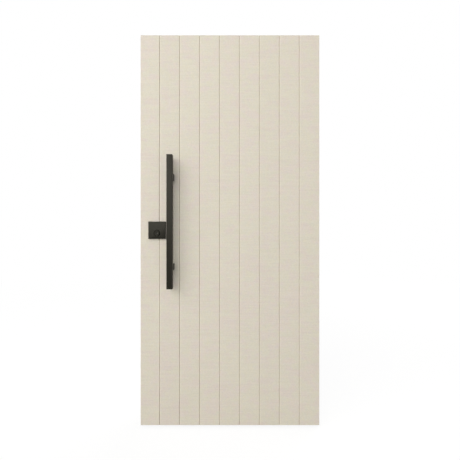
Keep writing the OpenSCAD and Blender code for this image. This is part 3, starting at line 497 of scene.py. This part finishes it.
rows = start.add("GeometryNodeInstanceOnPoints", {}, {
    "Points": field, "Instance": bristle, "Rotation": tilt, "Scale": size})
rows = start.add("GeometryNodeTransform", {}, {
    "Geometry": rows, "Translation": sockets["Place"], "Rotation": sockets["Turn"]})
end_tree(rows, sockets["Coat"])


def holder_block(shape, low, high):
    """Adds a holder, a closed block, to a mesh that is being made."""
    corners = [shape.verts.new((x, y, z)) for z in (low[2], high[2]) for y in (low[1], high[1])
               for x in (low[0], high[0])]
    for face in ((0, 2, 3, 1), (4, 5, 7, 6), (0, 1, 5, 4), (2, 6, 7, 3), (0, 4, 6, 2), (1, 3, 7, 5)):
        shape.faces.new([corners[i] for i in face])


HOLDER_ROUND = 0.0003
HOLDER_STEPS = 2


def brush(name, node, body, holders, holder_finish, piles, seed):
    """A brush strip: its holders, and its rows of pile, each (place, turn, run, width, rows, pile)."""
    mesh = bpy.data.meshes.new(name)
    shape = bmesh.new()
    for low, high in holders:
        holder_block(shape, low, high)
    bmesh.ops.bevel(shape, geom=shape.edges[:], offset=HOLDER_ROUND, segments=HOLDER_STEPS, profile=0.5,
                    affect="EDGES", clamp_overlap=True)
    shape.to_mesh(mesh)
    shape.free()
    mesh.materials.append(holder_finish)
    piece = link(name, mesh)
    for i, (spot, turn, run, width, rows, pile) in enumerate(piles):
        tuft = made_by(pile_tree, f"{name}_pile_{i + 1}", {
            "Run": run, "Width": width, "Along": round(run / PILE_PITCH), "Rows": rows, "Pile": pile,
            "Thick": PILE_THICK, "Lean": PILE_LEAN, "Seed": seed + i, "Place": spot, "Turn": turn,
            "Coat": pile_finish})
        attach(tuft, body)
        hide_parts(node)
    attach(piece, body)
    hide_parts(node)


HOLDER_LIP = 0.0004
PILE_ENDS = 0.004
PILE_BACK = 0.0006
JAMB_PILE_W = 0.0022
JAMB_PILE_ROWS = 3
low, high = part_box("pivot_brush")
middle = (low + high) / 2
jamb_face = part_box("pivot_jamb")[0].x
lip = jamb_face - HOLDER_LIP
brush("pivot_brush_strip", "pivot_brush", "frame",
      [((lip, low.y, low.z), (high.x, high.y, high.z))], bulb_rubber,
      [((lip, middle.y, middle.z), (0, -math.pi / 2, 0), high.z - low.z - PILE_ENDS, JAMB_PILE_W,
        JAMB_PILE_ROWS, jamb_face - low.x - PILE_BACK)], seed=11)

# Strike: a plate let into the lock jamb and screwed, with a window for the bolt and one for the roller.
# The plate is steel in the black coat of the other fittings. A dust box of moulded plastic sits behind it.

BLACK = (0.0052, 0.0053, 0.0029, 1)
BLACK_GREY = (0.0064, 0.0064, 0.0038, 1)
BLACK_WORN = (0.034, 0.032, 0.027, 1)
BLACK_SHEEN = (1.0, 0.94, 0.79, 1)
WORN_SHARE = 0.55
WORN_POLISH = 0.05


def satin_black(name, smoothest, roughest):
    """The black coat of the fittings, a little rubbed where an edge is rounded."""
    material, place = new_finish(name)
    grain = place.noise(scale=800.0)
    cloud = place.noise(scale=26.0, detail=3.0)
    edge = place.add("ShaderNodeAttribute", {"attribute_name": "edge"}, {}, "Fac")
    rub = edge * cloud.span(0.42, 0.62)
    colour = cloud.grade().tint(BLACK, BLACK_GREY)
    place.surface({
        "Base Color": rub.span(0.0, 1.0, 0.0, WORN_SHARE).tint(colour, BLACK_WORN),
        "Roughness": grain.grade(smoothest, roughest) - rub * WORN_POLISH,
        "Normal": grain.bump(distance=0.0001, strength=0.3),
        "IOR": 1.28,
        "Specular Tint": BLACK_SHEEN,
    })
    return material


black_coat = satin_black("black_coat", smoothest=0.25, roughest=0.35)

PLASTIC_DARK = (0.017, 0.017, 0.017, 1)
PLASTIC_LIGHT = (0.026, 0.026, 0.026, 1)
moulded_black, place = new_finish("moulded_black")
grain = place.noise(scale=1300.0)
cloud = place.noise(scale=35.0)
place.surface({
    "Base Color": cloud.grade().tint(PLASTIC_DARK, PLASTIC_LIGHT),
    "Roughness": grain.grade(0.5, 0.66),
    "Normal": grain.bump(distance=0.0001, strength=0.35),
})

NARROW = 1.2


def mark_edges(mesh, width):
    """Writes an attribute that is 1 on faces narrow enough to be a rounded edge, for the wear of the coat."""
    worn = mesh.attributes.new("edge", "FLOAT", "FACE")
    share = []
    for face in mesh.polygons:
        sides = [(mesh.vertices[a].co - mesh.vertices[b].co).length for a, b in face.edge_keys]
        share.append(1.0 if min(sides) < width * NARROW else 0.0)
    worn.data.foreach_set("value", share)


ROUNDED_FROM = math.radians(38)
ROUND_STEPS = 2


def softened(node, body, material, width):
    """A copy of a solid in its place, its edges rounded by a small width and marked there."""
    shape = merged(node)
    mesh = bpy.data.meshes.new(node + "_made")
    shape.to_mesh(mesh)
    shape.free()
    mesh.shade_smooth()
    mesh.set_sharp_from_angle(angle=ROUNDED_FROM)
    piece = link(mesh.name, mesh)
    rounding = piece.modifiers.new("round", "BEVEL")
    rounding.width = width
    rounding.segments = ROUND_STEPS
    rounding.limit_method = "ANGLE"
    rounding.angle_limit = ROUNDED_FROM
    rounding.miter_outer = "MITER_ARC"
    rounding.harden_normals = True
    made = bpy.data.meshes.new_from_object(piece.evaluated_get(bpy.context.evaluated_depsgraph_get()))
    piece.modifiers.clear()
    piece.data = made
    made.materials.clear()
    made.materials.append(material)
    mark_edges(made, width)
    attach(piece, body)
    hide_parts(node)


STRIP_ROUND = 0.0003
STRIKE_SCREW_L = 0.009
softened("strike_plate", "frame", black_coat, STRIP_ROUND)
dress(moulded_black, "strike_box")
set_screws("strike_screws_set", "strike_screws", "frame", SMALL_SCREW_R, STRIKE_SCREW_L,
           heads("strike_screws", RIGHT), seed=2)

# Pivots of the frame: a floor plate with its spindle and a top plate with its bronze bush.
# Zinc plated steel. Each is let into a channel and screwed, and reaches out on a lobe to the turning axis
# in the middle of the leaf's thickness.

BRONZE = (0.46, 0.29, 0.12, 1)
BRONZE_PATINA = (0.3, 0.18, 0.08, 1)
TURNING_LINES = (60.0, 60.0, 2600.0)
turned_bronze, place = new_finish("turned_bronze")
rings = place.noise(scale=1.0, stretch=TURNING_LINES)
patina = place.noise(scale=70.0, detail=3.0)
place.surface({
    "Base Color": patina.span(0.35, 0.7).tint(BRONZE, BRONZE_PATINA),
    "Metallic": 1.0,
    "Roughness": rings.grade(0.28, 0.46),
    "Normal": rings.bump(distance=0.0001, strength=0.15),
})

PLATE_ROUND = 0.0004
PLATE_SCREW_R = 0.0025
FLOOR_SCREW_L = 0.0095
TOP_SCREW_L = 0.01
UP = (0, 0, 1)
softened("floor_plate", "frame", zinc_steel, PLATE_ROUND)
softened("top_plate", "frame", zinc_steel, PLATE_ROUND)
dress(zinc_steel, "floor_spindle")
dress(turned_bronze, "top_bush")
set_screws("floor_plate_screws_set", "floor_plate_screws", "frame", PLATE_SCREW_R, FLOOR_SCREW_L,
           heads("floor_plate_screws", UP), seed=3)
set_screws("top_plate_screws_set", "top_plate_screws", "frame", PLATE_SCREW_R, TOP_SCREW_L,
           heads("top_plate_screws", DOWN), seed=4)

# Leaf: hollow boards of extruded aluminium that lock together, tongue in pocket, with a V at every joint.
# Powder coated pale cream after cutting. Along the edges of the joints the coat is made paler, a painted
# highlight, and at the bottom of each V it is darker, dust and painted shade together.

HALF_T = 0.04
GROOVE_D = 0.003
FIRST_BOARD_W = 0.116
JOINT_DUST_AND_SHADE = (0.0034, 0.0036)
JOINT_HIGHLIGHT = (0.005, 0.009)
NO_JOINT = (0.012, 0.011)
DUST_AND_SHADE = (0.25, 0.18, 0.10, 1)
DUST_AND_SHADE_DEPTHS = (0.4 * GROOVE_D, 0.85 * GROOVE_D)
DUST_AND_SHADE_SHARE = 0.74
PAINTED_HIGHLIGHT = 1.055
BOARD_TONES = (0.988, 1.008)
TONE_SEED = 3.5
leaf_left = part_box("lock_stile")[0].x
leaf_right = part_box("pivot_stile")[1].x
half_w = (leaf_right - leaf_left) / 2
first_joint = leaf_left + FIRST_BOARD_W
board_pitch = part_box("plank_3")[0].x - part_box("plank_2")[0].x

leaf_coat, place = new_finish("leaf_coat")
across = place.axis("X")
depth = (HALF_T - abs(place.axis("Y"))).span(*DUST_AND_SHADE_DEPTHS)
boards = (across - first_joint) / board_pitch
from_joint = (boards.math("FRACT", boards + 0.5) - 0.5) * board_pitch
from_middle = abs(across - (leaf_left + half_w))
inside = from_middle.span(half_w - NO_JOINT[0], half_w - NO_JOINT[1], 1.0, 0.0)
near = abs(from_joint).span(*JOINT_DUST_AND_SHADE, 1.0, 0.0)
# Painted highlight: the coat is made paler in a band along both edges of every joint.
rim = abs(from_joint).span(*JOINT_HIGHLIGHT, 1.0, 0.0) * inside
# Dust and painted shade: the coat darkens towards the bottom of each V joint.
dust_and_shade = depth * near * inside
board_number = boards.math("FLOOR", boards)
tone = place.add("ShaderNodeTexWhiteNoise", {"noise_dimensions": "1D"}, {"W": board_number + TONE_SEED})
shade = tone.span(0.0, 1.0, *BOARD_TONES) * rim.span(0.0, 1.0, 1.0, PAINTED_HIGHLIGHT)
colour, relief, grain = powder_coat(place, shade)
place.surface({
    "Base Color": (dust_and_shade * DUST_AND_SHADE_SHARE).tint(colour, DUST_AND_SHADE),
    "Roughness": grain.grade(0.58, 0.7),
    "Normal": relief,
    "IOR": 1.4,
})

FACE_PLAY = 1e-5


def on_a_face(edge):
    """Whether an edge lies on the leaf's outer or inner face, as the edges of the V joints do."""
    return all(abs(vert.co.y) > HALF_T - FACE_PLAY for vert in edge.verts)


BOARD_ROUND = 0.0012
BOARDS = ("lock_stile", "plank_2", "plank_3", "plank_4", "plank_5", "plank_6", "plank_7", "plank_8",
          "pivot_stile")
for board in BOARDS:
    eased(board, "leaf", leaf_coat, UPRIGHT, BOARD_ROUND, on_a_face)

# Rails: channels that close the ends of the boards, and the brush that hangs from the lower one.
# Bare drawn aluminium, the brush in a plastic holder with rows of black bristles down to the threshold.

RAIL_LINES = (6.0, 700.0, 700.0)
LEAF_PILE_W = 0.0042
LEAF_PILE_ROWS = 4
PILE_ROOT = 0.0002
rail_aluminium = drawn_aluminium("rail_aluminium", RAIL_LINES)
dress(rail_aluminium, "top_rail", "bottom_rail")
leaf_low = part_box("lock_stile")[0].z
holders = []
piles = []
for low, high in single_solids("bottom_brush"):
    middle = (low + high) / 2
    holders.append(((low.x, low.y, leaf_low), (high.x, high.y, high.z)))
    piles.append(((middle.x, middle.y, leaf_low + PILE_ROOT), (math.pi, 0, 0),
                  high.x - low.x - PILE_ENDS, LEAF_PILE_W, LEAF_PILE_ROWS, leaf_low - low.z))
brush("bottom_brush_strip", "bottom_brush", "leaf", holders, moulded_black, piles, seed=31)

# Pivots of the leaf: a block screwed in each rail, the upper one with its pin, the lower one with its bush.
# Milled aluminium, a hardened steel pin, a bronze bush, and a bronze washer that the leaf's weight turns on.

BLOCK_ROUND = 0.0005
PIVOT_SCREW_R = 0.003
PIVOT_SCREW_L = 0.02
HALFWAY_UP = 1.2
softened("top_pivot_body", "leaf", rail_aluminium, BLOCK_ROUND)
softened("bottom_pivot_body", "leaf", rail_aluminium, BLOCK_ROUND)
dress(zinc_steel, "top_pivot_pin")
dress(turned_bronze, "bottom_bush", "thrust_washer")
pivot_places = [(spot, way) for spot, way in heads("pivot_body_screws", UP) if spot.z > HALFWAY_UP]
pivot_places += [(spot, way) for spot, way in heads("pivot_body_screws", DOWN) if spot.z < HALFWAY_UP]
set_screws("pivot_screws_set", "pivot_body_screws", "leaf", PIVOT_SCREW_R, PIVOT_SCREW_L, pivot_places,
           seed=5)

# Lock in the stile: a steel case behind a forend with round ends, for the bolt, the cam and the spindle.
# Above the bolt a sprung carrier holds a bronze roller that snaps into the strike.

BOLT_ROUND = 0.0004
FOREND_SCREW_L = 0.012
LEFT = (-1, 0, 0)
dress(zinc_steel, "lock_case", "cam", "spindle", "roller_carrier", "roller_pin")
softened("forend", "leaf", zinc_steel, STRIP_ROUND)
softened("deadbolt", "bolt", zinc_steel, BOLT_ROUND)
dress(turned_bronze, "roller")
set_screws("forend_screws_set", "forend_screws", "leaf", SMALL_SCREW_R, FOREND_SCREW_L,
           heads("forend_screws", LEFT), seed=6)

# Lock plates: shallow square trays on both faces, drawn together by four bolts from the inside.
# Zinc castings with a satin black coat. The outer one carries a turned collar round the key cylinder.

TRAY_ROUND = 0.0006
COLLAR_ROUND = 0.0004
PLATE_BOLT_R = 0.0025
PLATE_BOLT_L = 0.099
INWARDS = (0, 1, 0)
plate_coat = satin_black("plate_coat", smoothest=0.14, roughest=0.2)
softened("outer_lock_plate", "leaf", plate_coat, TRAY_ROUND)
softened("inner_lock_plate", "leaf", plate_coat, TRAY_ROUND)
softened("cylinder_rose", "leaf", black_coat, COLLAR_ROUND)
dress(black_coat, "cylinder_body")
set_screws("plate_bolts_set", "plate_bolts", "leaf", PLATE_BOLT_R, PLATE_BOLT_L,
           heads("plate_bolts", INWARDS), seed=7)

# Key plug: the round core of the cylinder, turned and slotted for the key.
# Blackened brass, with one small bare bright spot beside the slot that is a painted glint.

PLUG_BLACK = (0.012, 0.011, 0.008, 1)
PLUG_GLINT = (0.24, 0.225, 0.19, 1)
PLUG_ROUND = 0.0003
GLINT_RIGHT, GLINT_DOWN = 0.0042, 0.0008
GLINT_FADE = (0.001, 0.0022)
low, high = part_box("key_plug")
middle = (low + high) / 2
spot = (middle.x + GLINT_RIGHT, low.y, middle.z - GLINT_DOWN)
plug_metal, place = new_finish("plug_metal")
from_glint = place.add("ShaderNodeVectorMath", {"operation": "DISTANCE"}, {0: place, 1: spot}, "Value")
scratch = place.noise(scale=900.0, detail=3.0)
# Painted glint: a small bright metal spot on the plug's face beside the slot, faded at its edge and broken by
# scratches.
rub = from_glint.span(*GLINT_FADE, 1.0, 0.0) * scratch.span(0.2, 0.5)
place.surface({
    "Base Color": rub.tint(PLUG_BLACK, PLUG_GLINT),
    "Metallic": rub,
    "Roughness": scratch.grade(0.36, 0.5),
    "Normal": scratch.bump(distance=0.0001, strength=0.2),
    "IOR": 1.25,
})
softened("key_plug", "plug", plug_metal, PLUG_ROUND)

# Thumb turn: the wing on the inner plate that throws the bolt through the square spindle.
# One black coated casting, its edges rounded for the fingers.

WING_ROUND = 0.0012
softened("thumb_turn", "turn", black_coat, WING_ROUND)

# Pulls: a long square tube on two posts on each face, the two joined through the leaf by rods in sleeves.
# Steel tube with a satin black coat, closed with moulded caps that sit just below its ends.

CORNER_POINTS = 5


def tube_ring(shape, centre, half, corner, z):
    """A ring of points on a square with round corners."""
    loop = []
    for quarter in range(4):
        turn = quarter * math.pi / 2
        for i in range(CORNER_POINTS):
            angle = turn + math.pi / 2 * i / (CORNER_POINTS - 1)
            x = (half - corner) * (1 if quarter in (0, 3) else -1) + corner * math.cos(angle)
            y = (half - corner) * (1 if quarter in (0, 1) else -1) + corner * math.sin(angle)
            loop.append(shape.verts.new((centre[0] + x, centre[1] + y, z)))
    return loop


def join_rings(shape, loops):
    """Adds the wall between each ring and the next."""
    for low, high in zip(loops, loops[1:]):
        for i in range(len(low)):
            j = (i + 1) % len(low)
            shape.faces.new((low[i], low[j], high[j], high[i]))


TUBE_SMOOTH = math.radians(40)


def pull_piece(name, shape, material, node):
    """A piece of the pulls from a mesh that is done, its normals outwards and its round faces smooth."""
    bmesh.ops.recalc_face_normals(shape, faces=shape.faces)
    mesh = bpy.data.meshes.new(name)
    shape.to_mesh(mesh)
    shape.free()
    mesh.materials.append(material)
    mesh.shade_smooth()
    mesh.set_sharp_from_angle(angle=TUBE_SMOOTH)
    piece = link(name, mesh)
    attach(piece, "leaf")
    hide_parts(node)
    return piece


TUBE_WALL = 0.002
TUBE_CORNER = 0.0025
TUBE_EDGE = 0.0011
END_ROUND = 0.0005
INNER_CORNER = 0.5
CAP_CORNER = 0.0015
CAP_PLAY = 0.0001
CAP_DEPTH = 0.012
CAP_SINK = 0.0004
CAP_CHAMFER = 0.0008
POST_ROUND = 0.0004
cap_shape = bmesh.new()
for side in ("outer", "inner"):
    low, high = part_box(f"{side}_pull_bar")
    centre = ((low.x + high.x) / 2, (low.y + high.y) / 2)
    half = (high.x - low.x) / 2
    hollow = half - TUBE_WALL
    bar = bmesh.new()
    rings = [(hollow, low.z + CAP_DEPTH), (hollow, low.z + END_ROUND), (hollow + END_ROUND, low.z),
             (half - END_ROUND, low.z), (half, low.z + END_ROUND), (half, high.z - END_ROUND),
             (half - END_ROUND, high.z), (hollow + END_ROUND, high.z), (hollow, high.z - END_ROUND),
             (hollow, high.z - CAP_DEPTH)]
    loops = [tube_ring(bar, centre, reach, TUBE_CORNER - (half - reach) * INNER_CORNER, z)
             for reach, z in rings]
    join_rings(bar, loops + [loops[0]])
    tube = pull_piece(f"{side}_pull_tube", bar, black_coat, f"{side}_pull_bar")
    mark_edges(tube.data, TUBE_EDGE)
    plug = hollow - CAP_PLAY
    for end, way in ((low.z, 1), (high.z, -1)):
        rings = [(plug, end + way * CAP_DEPTH), (plug, end + way * (CAP_SINK + CAP_CHAMFER)),
                 (plug - CAP_CHAMFER, end + way * CAP_SINK)]
        loops = [tube_ring(cap_shape, centre, reach, CAP_CORNER - (plug - reach) * INNER_CORNER, z)
                 for reach, z in rings]
        join_rings(cap_shape, loops)
        cap_shape.faces.new(loops[0])
        cap_shape.faces.new(loops[-1])
pull_piece("pull_end_caps", cap_shape, moulded_black, "pull_caps")
softened("outer_pull_posts", "leaf", black_coat, POST_ROUND)
softened("inner_pull_posts", "leaf", black_coat, POST_ROUND)
dress(zinc_steel, "pull_bolts")

# Studio: a pale floor that keeps the shadow, white all round, and a wide softbox at the upper left in front.
# A second softbox behind the camera has its lower edge a little below the camera's height, so that the
# black pieces grow darker downwards. A third softbox lights the back.


def shown(start):
    """1 for a ray from the camera or by way of a gloss or a glass, which all see the studio white."""
    seen = start.add("ShaderNodeLightPath", {}, {}, "Is Camera Ray")
    glossy = start.add("ShaderNodeLightPath", {}, {}, "Is Glossy Ray")
    through = start.add("ShaderNodeLightPath", {}, {}, "Is Transmission Ray")
    return seen.math("MAXIMUM", seen.math("MAXIMUM", seen, glossy), through)


WHITE = (1, 1, 1, 1)
FLOOR_MATT = (0.5, 0.5, 0.5, 1)
FLOOR_SHADOWED = (0.14, 0.14, 0.14, 1)
FLOOR_GLOW = 0.88
FLOOR_FADE = (2.5, 7.0)
FLOOR_REACH = 40
floor_corners = [(x * FLOOR_REACH, y * FLOOR_REACH, 0) for x, y in ((-1, -1), (1, -1), (1, 1), (-1, 1))]
floor_mesh = bpy.data.meshes.new("floor")
floor_mesh.from_pydata(floor_corners, [], [(0, 1, 2, 3)])
floor = link("floor", floor_mesh)
floor_paint, place = new_finish("floor_paint")
matt = place.add("ShaderNodeBsdfDiffuse", {}, {"Color": FLOOR_MATT})
shadowed = place.add("ShaderNodeBsdfDiffuse", {}, {"Color": FLOOR_SHADOWED})
glow = place.add("ShaderNodeEmission", {}, {"Color": WHITE, "Strength": FLOOR_GLOW})
pale = place.add("ShaderNodeAddShader", {}, {0: shadowed, 1: glow})
white = place.add("ShaderNodeEmission", {}, {"Color": WHITE, "Strength": 1.0})
far = place.add("ShaderNodeVectorMath", {"operation": "LENGTH"}, {0: place}, "Value").span(*FLOOR_FADE)
pale = place.add("ShaderNodeMixShader", {}, {0: far, 1: pale, 2: white})
paint = place.add("ShaderNodeMixShader", {}, {0: shown(place), 1: matt, 2: pale})
place.add("ShaderNodeOutputMaterial", {}, {"Surface": paint})
floor_mesh.materials.append(floor_paint)

AMBIENT = 0.37
world = bpy.data.worlds.new("studio")
bpy.context.scene.world = world
world.use_nodes = True
world.node_tree.nodes.clear()
sky = Wire(world.node_tree)
strength = shown(sky).span(0.0, 1.0, AMBIENT, 1.0)
background = sky.add("ShaderNodeBackground", {}, {"Color": WHITE, "Strength": strength})
sky.add("ShaderNodeOutputWorld", {}, {"Surface": background})


def soft_light(name, place, aim, width, height, power, colour):
    """A softbox that looks at a point."""
    lamp = bpy.data.lights.new(name, "AREA")
    lamp.shape = "RECTANGLE"
    lamp.size = width
    lamp.size_y = height
    lamp.energy = power
    lamp.color = colour
    holder = bpy.data.objects.new(name, lamp)
    holder.location = place
    holder.rotation_euler = (Vector(aim) - Vector(place)).to_track_quat("-Z", "Y").to_euler()
    bpy.context.scene.collection.objects.link(holder)


KEY_PLACE = (-9.0, -9.5, 9.8)
KEY_SIDE = 14.0
KEY_POWER = 1460.0
KEY_COLOUR = (1.0, 0.985, 0.96)
FRONT_PLACE = (-1.9, -9.2, 3.55)
FRONT_AIM = (-1.9, 0.0, 3.55)
FRONT_W, FRONT_H = 6.0, 5.0
FRONT_POWER = 290.0
BACK_PLACE = (7.5, 9.5, 6.5)
BACK_SIDE = 15.0
BACK_POWER = 1200.0
NEUTRAL = (1.0, 1.0, 1.0)
leaf_low_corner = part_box("lock_stile")[0]
leaf_high_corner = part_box("pivot_stile")[1]
leaf_middle = (leaf_low_corner + leaf_high_corner) / 2
soft_light("key", KEY_PLACE, leaf_middle, KEY_SIDE, KEY_SIDE, KEY_POWER, KEY_COLOUR)
soft_light("front", FRONT_PLACE, FRONT_AIM, FRONT_W, FRONT_H, FRONT_POWER, NEUTRAL)
soft_light("back", BACK_PLACE, leaf_middle, BACK_SIDE, BACK_SIDE, BACK_POWER, NEUTRAL)

VIEW_DISTANCE = 1.88
VIEW_WIDTH = 2.8316
VIEW_RIGHT = 0.0003
VIEW_UP = 0.0013
SENSOR = 36.0
eye = bpy.data.cameras.new("eye")
eye.sensor_width = SENSOR
eye.lens = SENSOR * VIEW_DISTANCE / VIEW_WIDTH
camera = bpy.data.objects.new("eye", eye)
camera.location = (VIEW_RIGHT, leaf_low_corner.y - VIEW_DISTANCE, leaf_middle.z + VIEW_UP)
camera.rotation_euler = (math.pi / 2, 0, 0)
bpy.context.scene.collection.objects.link(camera)
bpy.context.scene.camera = camera
bpy.context.scene.view_settings.view_transform = "Standard"
